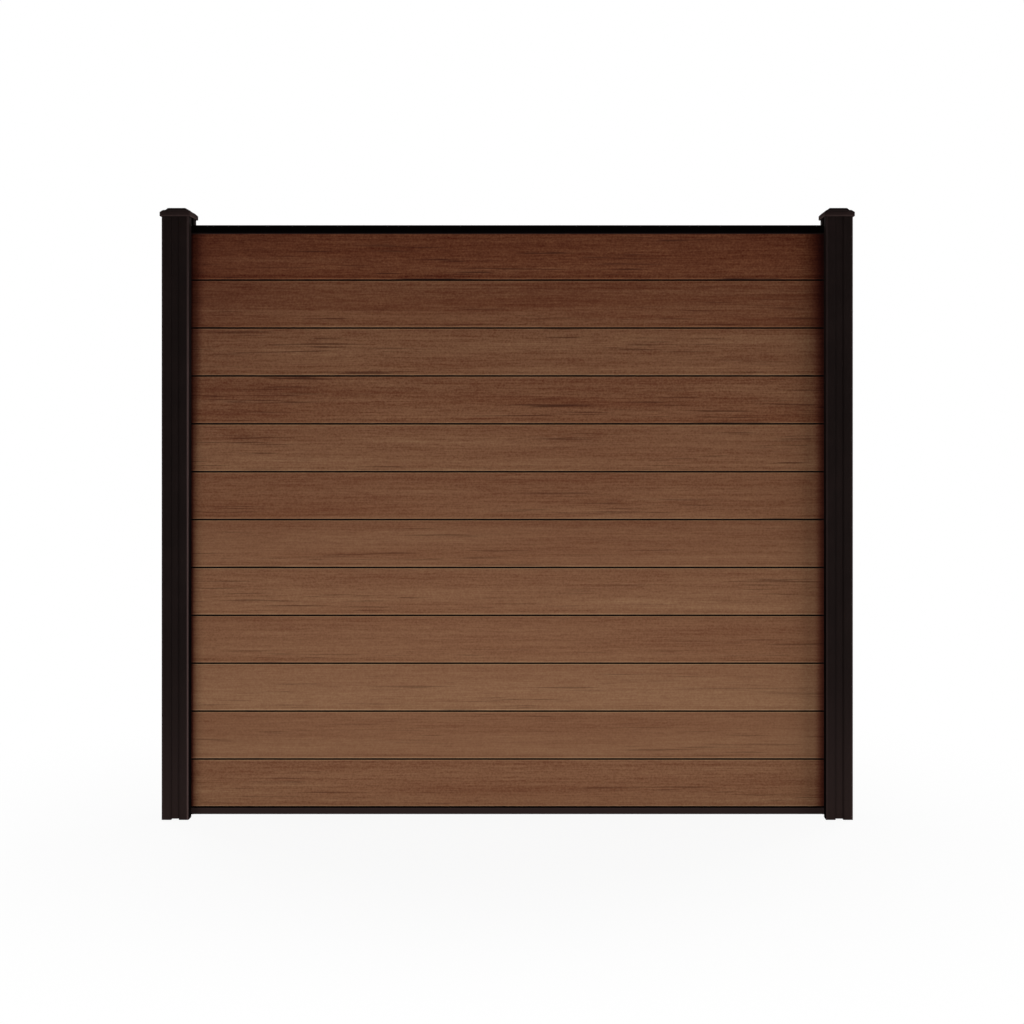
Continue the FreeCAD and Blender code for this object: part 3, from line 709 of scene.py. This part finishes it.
def add_piece(name, mesh, place, nodes):
    """Puts a finished mesh where it belongs, as the piece that stands for its nodes."""
    mesh.name = name
    mesh.transform(place)
    piece = bpy.data.objects.new(name, mesh)
    bpy.context.scene.collection.objects.link(piece)
    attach(piece, "root")
    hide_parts(*nodes)
    return piece


DRAWN_SECTION = drawn_section_group()


# Boards

BOARD_FACE_STEP = 1.7 * MM
BOARD_LENGTH_STEPS = 64
GRAIN_DEPTH = 0.22 * MM
# How much of that depth the streaks and the threads take, and how square to the front a pressed face is
PRESSED_STREAK = 0.6
PRESSED_THREAD = 0.4
PRESSED_FACING = (0.98, 0.999)
# How tan, rather than russet, each board is, from the lowest up
BOARD_TONE_SHARES = (0.59, 0.72, 1.06, 0.59, 0.66, 0.62, 0.45, 0.6, 0.38, 0.57, 0.29, 0.0)
# How lively each board's figure is
BOARD_FIGURE_SHARES = (1.05, 0.72, 1.2, 0.85, 0.97, 0.85, 0.98, 1.14, 1.24, 1.22, 1.06, 1.22)


def board_section():
    """A tapered tongue over a groove that fits it, round lips, and a row of chambers."""
    crest = BOARD_COVER + TONGUE_HEIGHT
    slope = (TONGUE_ROOT - TONGUE_TIP) / TONGUE_HEIGHT
    mouth = TONGUE_ROOT + TONGUE_CLEARANCE - slope * JOINT_REVEAL
    outside = [
        (TONGUE_TIP + TONGUE_CLEARANCE, TONGUE_HEIGHT, INNER_RADIUS),
        (mouth, JOINT_REVEAL, INNER_RADIUS),
        (BOARD_HALF, JOINT_REVEAL, LIP_RADIUS),
        (BOARD_HALF, BOARD_COVER, SHOULDER_RADIUS),
        (TONGUE_ROOT, BOARD_COVER, INNER_RADIUS),
        (TONGUE_TIP, crest, TONGUE_RADIUS),
    ]
    outlines = [mirrored(outside)]
    row_foot = TONGUE_HEIGHT + CHAMBER_SKIN
    pitch = (BOARD_COVER - CHAMBER_SKIN - row_foot + CHAMBER_WEB) / CHAMBER_COUNT
    for number in range(CHAMBER_COUNT):
        foot = row_foot + number * pitch
        roof = foot + pitch - CHAMBER_WEB
        right = [(CHAMBER_HALF, foot, CHAMBER_RADIUS), (CHAMBER_HALF, roof, CHAMBER_RADIUS)]
        outlines.append(hole(mirrored(right)))
    return outlines


def grain_relief_group():
    """Presses the grain into a board's front and back, and marks it with its number, tone and figure."""
    group, tree = new_group(
        "grain_relief",
        (
            ("Board", "NodeSocketGeometry"),
            ("Number", "NodeSocketFloat"),
            ("Tone", "NodeSocketFloat"),
            ("Figure", "NodeSocketFloat"),
            ("Depth", "NodeSocketFloat"),
            ("Finish", "NodeSocketMaterial"),
        ),
    )
    ask = tree.add("NodeGroupInput")
    position = tree.add("GeometryNodeInputPosition")
    grain = board_grain(tree, position, ask["Number"])
    facing = tree.split(tree.add("GeometryNodeInputNormal"))[1]
    flat = tree.step(tree.math("ABSOLUTE", facing), *PRESSED_FACING)
    outer = tree.math("ABSOLUTE", tree.split(position)[1]) > BOARD_HALF - LIP_RADIUS
    hollow = grain["streak"] * PRESSED_STREAK + (0.5 - grain["thread"]) * PRESSED_THREAD
    hollow = hollow * ask["Depth"] * flat * outer
    inward = tree.joined(0.0, hollow * tree.math("SIGN", facing) * -1, 0.0)
    pressed = tree.add("GeometryNodeSetPosition", inputs={"Geometry": ask["Board"], "Offset": inward})
    settings = {"data_type": "FLOAT", "domain": "POINT"}
    for label in ("Number", "Tone", "Figure"):
        values = {"Geometry": pressed, "Name": f"board_{label.lower()}", "Value": ask[label]}
        pressed = tree.add("GeometryNodeStoreNamedAttribute", settings, values)
    close_group(tree, pressed, ask["Finish"])
    return group


def add_boards():
    finish = composite_finish()
    relief = grain_relief_group()
    for number, node in enumerate(BOARDS):
        low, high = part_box(node)
        mesh = drawn_mesh(board_section(), high[0] - low[0], finish, BOARD_FACE_STEP, BOARD_LENGTH_STEPS)
        mesh.transform(Matrix.Translation((low[0], 0, low[2] - JOINT_REVEAL)) @ ALONG_X)
        carrier = bpy.data.objects.new("plain_board", mesh)
        values = {
            "Number": float(number),
            "Tone": BOARD_TONE_SHARES[number],
            "Figure": BOARD_FIGURE_SHARES[number],
            "Depth": GRAIN_DEPTH,
            "Finish": finish,
        }
        grained = run_group(carrier, relief, values)
        add_piece(f"grained_{node}", grained, Matrix.Identity(4), [node])


# Posts, strips, rails, gaskets and brackets

METAL_FACE_STEP = 7 * MM


def slotted_square(half, slot_half, floor, corner_radius, lip_radius):
    """A square outline with a slot in the middle of each side."""
    side = [
        (-half, -half, corner_radius),
        (-slot_half, -half, lip_radius),
        (-slot_half, -floor, INNER_RADIUS),
        (slot_half, -floor, INNER_RADIUS),
        (slot_half, -half, lip_radius),
    ]
    outline = []
    for quarter in range(4):
        turn = Matrix.Rotation(quarter * math.pi / 2, 2)
        for across, up, radius in side:
            spot = turn @ Vector((across, up))
            outline.append((spot.x, spot.y, radius))
    return outline


def add_posts(finish):
    floor = POST_HALF - SLOT_DEPTH
    outside = slotted_square(POST_HALF, SLOT_HALF, floor, POST_CORNER_RADIUS, SLOT_LIP_RADIUS)
    inner_sizes = (POST_HALF - POST_WALL, SLOT_HALF + POST_WALL, floor - POST_WALL)
    inside = slotted_square(*inner_sizes, INNER_RADIUS, INNER_RADIUS)
    for hand in HANDS:
        mesh = drawn_mesh([outside, hole(inside)], POST_HEIGHT, finish, METAL_FACE_STEP)
        place = Matrix.Translation((POST_AXIS[hand], 0, 0))
        add_piece(f"{hand}_slotted_post", mesh, place, [f"{hand}_post"])


def add_strips(finish):
    half = (strip_high.x - strip_low.x) / 2
    front, leg_end = strip_low.y, strip_high.y
    right = [
        (half, front, STRIP_EDGE_RADIUS),
        (half, leg_end, INNER_RADIUS),
        (half - STRIP_WALL, leg_end, INNER_RADIUS),
        (half - STRIP_WALL, front + STRIP_WALL, INNER_RADIUS),
    ]
    length = strip_high.z - strip_low.z
    for hand in HANDS:
        outward = -math.pi / 2 if hand == "left" else math.pi / 2
        for side, turn in (("front", 0.0), ("outer", outward), ("back", math.pi)):
            mesh = drawn_mesh([mirrored(right)], length, finish, METAL_FACE_STEP)
            place = Matrix.Translation((POST_AXIS[hand], 0, strip_low.z)) @ Matrix.Rotation(turn, 4, "Z")
            add_piece(f"{hand}_{side}_cover_strip", mesh, place, [f"{hand}_{side}_strip"])


def bottom_rail_section():
    """A hollow rail with a tongue for the lowest board."""
    half = (bottom_rail_high.y - bottom_rail_low.y) / 2
    crest = bottom_rail_high.z - bottom_rail_low.z
    shoulder = crest - TONGUE_HEIGHT
    wall = RAIL_WALL
    outside = [
        (half, 0.0, RAIL_EDGE_RADIUS),
        (half, shoulder, RAIL_EDGE_RADIUS),
        (TONGUE_ROOT, shoulder, INNER_RADIUS),
        (TONGUE_TIP, crest, TONGUE_RADIUS),
    ]
    inside = [
        (half - wall, wall, INNER_RADIUS),
        (half - wall, shoulder - wall, INNER_RADIUS),
        (TONGUE_ROOT - wall, shoulder - wall, INNER_RADIUS),
        (TONGUE_TIP - wall, crest - wall, INNER_RADIUS),
    ]
    return [mirrored(outside), hole(mirrored(inside))]


def top_rail_section():
    """A hollow rail with two legs that lap over the top board."""
    half = (top_rail_high.y - top_rail_low.y) / 2
    top = top_rail_high.z - top_rail_low.z
    web = TOP_RAIL_LAP + TONGUE_HEIGHT
    leg = BOARD_HALF + TOP_RAIL_CLEARANCE
    outside = [
        (leg, web, INNER_RADIUS),
        (leg, 0.0, RAIL_LIP_RADIUS),
        (half, 0.0, RAIL_LIP_RADIUS),
        (half, top, RAIL_EDGE_RADIUS),
    ]
    inner = half - RAIL_WALL
    inside = [(inner, web + RAIL_WALL, INNER_RADIUS), (inner, top - RAIL_WALL, INNER_RADIUS)]
    return [mirrored(outside), hole(mirrored(inside))]


def add_rails():
    bottom_coat = coat_finish("bottom_rail_coat", LENGTHWISE_DRAW, RAIL_BROWN)
    top_coat = coat_finish("top_rail_shaded_coat", LENGTHWISE_DRAW, TOP_RAIL_SHADE_BLACK, TOP_RAIL_SHADE_WORN, TOP_RAIL_GLOSS)
    rails = (
        ("bottom_rail", bottom_rail_section(), bottom_rail_low, bottom_rail_high, bottom_coat),
        ("top_rail", top_rail_section(), top_rail_low, top_rail_high, top_coat),
    )
    for node, section, low, high, finish in rails:
        mesh = drawn_mesh(section, high.x - low.x, finish, METAL_FACE_STEP)
        place = Matrix.Translation((low.x, 0, low.z)) @ ALONG_X
        add_piece(f"hollow_{node}", mesh, place, [node])


def add_gaskets():
    finish = rubber_finish()
    for hand in HANDS:
        for side in ("front", "back"):
            node = f"{hand}_{side}_gasket"
            low, high = (Vector(corner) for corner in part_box(node))
            near, far = (GASKET_RADIUS, 0.0) if side == "back" else (0.0, GASKET_RADIUS)
            front = [(low.x, low.y, near), (high.x, low.y, near)]
            back = [(high.x, high.y, far), (low.x, high.y, far)]
            mesh = drawn_mesh([front + back], high.z - low.z, finish, METAL_FACE_STEP)
            place = Matrix.Translation((0, 0, low.z))
            add_piece(f"{hand}_{side}_rubber_strip", mesh, place, [node])


def add_brackets():
    finish = steel_finish("zinc_sheet", *SHEET_ZINC)
    reach = bracket_high.x - bracket_low.x
    rise = bracket_high.z - bracket_low.z
    width = bracket_high.y - bracket_low.y
    outline = [
        (0.0, 0.0, BRACKET_BEND + BRACKET_WALL),
        (reach, 0.0, INNER_RADIUS),
        (reach, BRACKET_WALL, INNER_RADIUS),
        (BRACKET_WALL, BRACKET_WALL, BRACKET_BEND),
        (BRACKET_WALL, rise, INNER_RADIUS),
        (0.0, rise, INNER_RADIUS),
    ]
    for hand in HANDS:
        for level in ("lower", "upper"):
            node = f"{hand}_{level}_bracket"
            low, high = (Vector(corner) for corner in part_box(node))
            mesh = drawn_mesh([outline], width, finish, METAL_FACE_STEP)
            mesh.transform(Matrix.Translation((0, width / 2, 0)) @ ACROSS_Y)
            turn = Matrix.Rotation(0.0 if hand == "left" else math.pi, 4, "Z")
            heel = low.x if hand == "left" else high.x
            place = Matrix.Translation((heel, 0, low.z)) @ turn
            add_piece(f"{hand}_{level}_angle", mesh, place, [node])


# Post caps

CAP_RING_STEPS = 6
CAP_PROFILE_STEPS = 4
# Painted light on a cap's edges: above 0 a painted highlight, below 0 painted shade
CROWN_HIGHLIGHT = 0.5
SLOPE_HIGHLIGHT = 0.2
LEDGE_SHADE = -1.0
BEVEL_HIGHLIGHT = 0.2
SKIRT_HIGHLIGHT = 1.0
# How far down the crown's slope the painted highlight ends and the ledge's painted shade begins
SLOPE_PALE_END = 0.5
SLOPE_DARK_START = 0.7


def rounded_profile(corners, steps):
    """A polyline's points and their painted light. Each corner (across, up, radius, painted light) becomes
    an arc.
    """
    path = []
    ends = (corners[0], corners[-1])
    for before, here, after in zip(corners[:1] + corners, corners, corners[1:] + corners[-1:]):
        across, up, radius, painted_light = here
        corner = Vector((across, up))
        if here in ends or radius == 0:
            path.append((corner, painted_light))
            continue
        come = (corner - Vector(before[:2])).normalized()
        leave = (Vector(after[:2]) - corner).normalized()
        bend = come.angle(leave)
        start = corner - come * radius * math.tan(bend / 2)
        centre = corner + (leave - come).normalized() * (radius / math.cos(bend / 2))
        spin = math.copysign(bend / steps, come.x * leave.y - come.y * leave.x)
        for number in range(steps + 1):
            path.append((centre + Matrix.Rotation(spin * number, 2) @ (start - centre), painted_light))
    return path


def square_ring(half, radius):
    """The points of a square with round corners, anticlockwise."""
    radius = min(radius, half)
    ring = []
    for quarter in range(4):
        for number in range(CAP_RING_STEPS + 1):
            angle = (quarter + number / CAP_RING_STEPS) * math.pi / 2
            corner = Matrix.Rotation(quarter * math.pi / 2, 2) @ Vector((half - radius, half - radius))
            ring.append(corner + Vector((math.cos(angle), math.sin(angle))) * radius)
    return ring


def cap_profile():
    """From the middle of the crown over the outside, round the skirt's edge and up inside to the roof."""
    outer = (cap_high.x - cap_low.x) / 2
    bevel = outer - CAP_BEVEL[0]
    ledge = bevel - CAP_LEDGE[0]
    crown = ledge - CAP_CROWN[0]
    bevel_top = CAP_SKIRT + CAP_BEVEL[1]
    ledge_top = bevel_top + CAP_LEDGE[1]
    top = ledge_top + CAP_CROWN[1]
    sleeve = outer - CAP_WALL
    seat = POST_HALF - CAP_SEAT
    soft, fine = CAP_EDGE_RADIUS, INNER_RADIUS

    def on_slope(share, painted_light):
        return (crown + (ledge - crown) * share, top + (ledge_top - top) * share, 0.0, painted_light)

    return [
        (crown / 2, top, 0.0, 0.0),
        (crown - CAP_RIM, top, 0.0, 0.0),
        (crown, top, soft, CROWN_HIGHLIGHT),
        on_slope(SLOPE_PALE_END, SLOPE_HIGHLIGHT),
        on_slope(SLOPE_DARK_START, LEDGE_SHADE),
        (ledge, ledge_top, soft, LEDGE_SHADE),
        (bevel, bevel_top, soft, BEVEL_HIGHLIGHT),
        (outer, CAP_SKIRT, soft, 0.0),
        (outer, CAP_RIM, 0.0, BEVEL_HIGHLIGHT),
        (outer, 0.0, soft, SKIRT_HIGHLIGHT),
        (sleeve, 0.0, fine, 0.0),
        (sleeve, CAP_COVER, fine, 0.0),
        (seat, CAP_COVER, fine, 0.0),
        (ledge, ledge_top - CAP_WALL, fine, 0.0),
        (crown - CAP_WALL, top - CAP_WALL, fine, 0.0),
        (crown / 2, top - CAP_WALL, 0.0, 0.0),
    ]


def cap_mesh(finish):
    """Rings of the profile, one above the other, closed by a flat crown and a flat roof."""
    mesh = bpy.data.meshes.new("cap")
    shell = bmesh.new()
    edge = shell.verts.layers.float.new("edge")
    path = rounded_profile(cap_profile(), CAP_PROFILE_STEPS)
    rings = []
    for (half, height), painted_light in path:
        ring = [shell.verts.new((spot.x, spot.y, height)) for spot in square_ring(half, CAP_CORNER_RADIUS)]
        for vertex in ring:
            vertex[edge] = painted_light
        rings.append(ring)
    count = len(rings[0])
    for upper, lower in zip(rings, rings[1:]):
        for number in range(count):
            following = (number + 1) % count
            shell.faces.new((upper[number], lower[number], lower[following], upper[following]))
    shell.faces.new(rings[0])
    shell.faces.new(list(reversed(rings[-1])))
    bmesh.ops.remove_doubles(shell, verts=shell.verts, dist=MERGE_GAP)
    bmesh.ops.recalc_face_normals(shell, faces=shell.faces)
    for face in shell.faces:
        face.smooth = True
    shell.to_mesh(mesh)
    shell.free()
    mesh.materials.append(finish)
    mesh.set_sharp_from_angle(angle=SMOOTH_ANGLE)
    return mesh


def add_caps():
    finish = cap_finish()
    for hand in HANDS:
        place = Matrix.Translation((POST_AXIS[hand], 0, cap_low.z))
        add_piece(f"{hand}_stepped_cap", cap_mesh(finish), place, [f"{hand}_post_cap"])


# Bracket screws

SCREW_FLATS = 7 * MM
SCREW_HEAD = 2.8 * MM
SCREW_SHANK = 2.1 * MM
SCREW_LENGTH = 6 * MM
SCREW_HEIGHT = 16 * MM
SCREW_CROWN = 0.5 * MM
SCREW_CROWN_SHARE = 0.84
SHANK_SIDES = 24


def screw_group():
    """Puts a hexagon-head screw on each point, turned to face the way the point says."""
    group, tree = new_group(
        "bracket_screws",
        (
            ("Places", "NodeSocketGeometry"),
            ("Flats", "NodeSocketFloat"),
            ("Head", "NodeSocketFloat"),
            ("Shank", "NodeSocketFloat"),
            ("Length", "NodeSocketFloat"),
            ("Finish", "NodeSocketMaterial"),
        ),
    )
    ask = tree.add("NodeGroupInput")
    corner = ask["Flats"] / math.sqrt(3)

    def lifted(solid, height):
        values = {"Geometry": solid, "Translation": tree.joined(0.0, 0.0, height)}
        return tree.add("GeometryNodeTransform", inputs=values)

    body = ask["Head"] - SCREW_CROWN
    head = tree.add("GeometryNodeMeshCylinder", inputs={"Vertices": 6, "Radius": corner, "Depth": body})
    narrow = corner * SCREW_CROWN_SHARE
    crown_sizes = {"Vertices": 6, "Radius Top": narrow, "Radius Bottom": corner, "Depth": SCREW_CROWN}
    crown = tree.add("GeometryNodeMeshCone", inputs=crown_sizes)
    shank_sizes = {"Vertices": SHANK_SIDES, "Radius": ask["Shank"], "Depth": ask["Length"]}
    shank = tree.add("GeometryNodeMeshCylinder", inputs=shank_sizes)
    solids = [lifted(head, body / 2), lifted(crown, body), lifted(shank, ask["Length"] * -0.5)]
    screw = tree.add("GeometryNodeJoinGeometry", inputs={"Geometry": solids})
    facing = tree.add("GeometryNodeInputNamedAttribute", {"data_type": "FLOAT_VECTOR"}, {"Name": "facing"})
    turn = tree.add("FunctionNodeAlignRotationToVector", {"axis": "Z"}, {"Vector": facing})
    values = {"Points": ask["Places"], "Instance": screw, "Rotation": turn}
    close_group(tree, tree.add("GeometryNodeInstanceOnPoints", inputs=values), ask["Finish"])
    return group


def add_screws():
    finish = steel_finish("zinc_screw", *SCREW_ZINC)
    spots, ways = [], []
    for hand, sign in (("left", 1.0), ("right", -1.0)):
        for level in ("lower", "upper"):
            low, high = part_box(f"{hand}_{level}_bracket")
            heel = low[0] if hand == "left" else high[0]
            spots.append((heel + sign * BRACKET_WALL, 0.0, low[2] + SCREW_HEIGHT))
            ways.append((sign, 0.0, 0.0))
    places = bpy.data.meshes.new("screw_places")
    places.from_pydata(spots, [], [])
    facing = places.attributes.new("facing", "FLOAT_VECTOR", "POINT")
    for item, way in zip(facing.data, ways):
        item.vector = way
    values = {
        "Flats": SCREW_FLATS,
        "Head": SCREW_HEAD,
        "Shank": SCREW_SHANK,
        "Length": SCREW_LENGTH,
        "Finish": finish,
    }
    mesh = run_group(bpy.data.objects.new("screw_places", places), screw_group(), values)
    add_piece("hexagon_screws", mesh, Matrix.Identity(4), ["bracket_screws"])


# Stage, light and camera

FLOOR_HALF = 9.0
FLOOR_GAP = 0.2 * MM
FLOOR_GREY = (0.86, 0.86, 0.86, 1.0)
WHITE = (1, 1, 1, 1)
# How white the floor looks near the object, and from where to where around it that goes up to plain white
FLOOR_WHITE = 0.92
FLOOR_FADE = (0.35, 1.6)
# The way along the panel counts less than the way across
ALONG_SHARE = 0.5


def add_floor():
    """Pale, with the object's faint shadow on it, and plain white further out."""
    half = FLOOR_HALF
    corners = [(-half, -half, 0), (half, -half, 0), (half, half, 0), (-half, half, 0)]
    mesh = bpy.data.meshes.new("studio_floor")
    mesh.from_pydata(corners, [], [(0, 1, 2, 3)])
    floor = bpy.data.objects.new("studio_floor", mesh)
    floor.location.z = -FLOOR_GAP
    bpy.context.scene.collection.objects.link(floor)
    material, tree = new_material("pale_floor")
    x, y, _ = tree.split(tree.add("ShaderNodeTexCoord", output="Object"))
    away = tree.math("SQRT", x * x * ALONG_SHARE + y * y)
    seen = tree.add("ShaderNodeLightPath", output="Is Camera Ray")
    matte = tree.add("ShaderNodeBsdfDiffuse", inputs={"Color": FLOOR_GREY})
    white = tree.add("ShaderNodeEmission", inputs={"Color": WHITE, "Strength": 1.0})
    share = seen * (FLOOR_WHITE + tree.step(away, *FLOOR_FADE) * (1 - FLOOR_WHITE))
    mix = tree.add("ShaderNodeMixShader", inputs={0: share, 1: matte, 2: white})
    tree.add("ShaderNodeOutputMaterial", inputs={"Surface": mix})
    mesh.materials.append(material)


WORLD_STRENGTH = 0.1


def add_world():
    """White where it is seen, mirrored or looked through, and soft grey light elsewhere."""
    world = bpy.data.worlds.new("studio")
    world.use_nodes = True
    world.node_tree.nodes.clear()
    tree = Tree(world.node_tree)
    path = tree.add("ShaderNodeLightPath")
    through = tree.math("MAXIMUM", path["Is Glossy Ray"], path["Is Transmission Ray"])
    seen = tree.math("MAXIMUM", path["Is Camera Ray"], through)
    strength = WORLD_STRENGTH + seen * (1 - WORLD_STRENGTH)
    shader = tree.add("ShaderNodeBackground", inputs={"Color": WHITE, "Strength": strength})
    tree.add("ShaderNodeOutputWorld", inputs={"Surface": shader})
    bpy.context.scene.world = world


def add_lamp(name, place, aim, size, power):
    """A soft rectangular lamp that doesn't show in the picture."""
    light = bpy.data.lights.new(name, "AREA")
    light.shape = "RECTANGLE"
    light.size, light.size_y = size
    light.energy = power
    lamp = bpy.data.objects.new(name, light)
    lamp.location = place
    lamp.rotation_euler = (Vector((0, 0, aim)) - Vector(place)).to_track_quat("-Z", "Y").to_euler()
    lamp.visible_camera = False
    bpy.context.scene.collection.objects.link(lamp)


# Lamps: name, place, height that it is aimed at on the panel's middle, size in metres, power in watts
LAMPS = (
    ("right_side", (6.0, -1.5, 0.4), 0.3, (2.6, 1.0), 318),
    ("left_side", (-4.2, -4.2, 0.4), 0.3, (2.2, 1.0), 110),
    ("low_front", (-0.1, -1.7, 0.12), 0.3, (2.2, 0.3), 15.4),
    ("overhead", (0.0, 0.0, 4.2), 0.0, (2.4, 0.5), 22),
    ("back_right", (3.6, 2.8, 1.6), 0.8, (2.0, 1.6), 116),
    ("back_left", (-3.6, 2.8, 1.6), 0.8, (2.0, 1.6), 92),
)


def add_camera():
    """Stands square to the panel, as the picture was taken; the shift frames it."""
    scale = MM_PER_PIXEL * MM
    data = bpy.data.cameras.new("camera")
    data.sensor_width = SENSOR
    data.lens = SENSOR * CAMERA_DISTANCE / (FRAME_PIXELS * scale)
    data.shift_x = (FRAME_PIXELS / 2 - AXIS_PIXEL[0]) / FRAME_PIXELS
    data.shift_y = (AXIS_PIXEL[1] - FRAME_PIXELS / 2) / FRAME_PIXELS
    camera = bpy.data.objects.new("camera", data)
    right = (AXIS_PIXEL[0] - MIDDLE_PIXEL) * scale
    height = (GROUND_PIXEL - AXIS_PIXEL[1]) * scale
    camera.location = (right, -POST_HALF - CAMERA_DISTANCE, height)
    camera.rotation_euler = (math.pi / 2, 0, 0)
    bpy.context.scene.collection.objects.link(camera)
    bpy.context.scene.camera = camera


add_boards()
add_posts(coat_finish("post_coat", VERTICAL_DRAW))
add_strips(coat_finish("strip_coat", VERTICAL_DRAW))
add_rails()
add_gaskets()
add_brackets()
add_caps()
add_screws()
add_floor()
add_world()
for lamp in LAMPS:
    add_lamp(*lamp)
add_camera()
bpy.context.scene.view_settings.view_transform = "Standard"
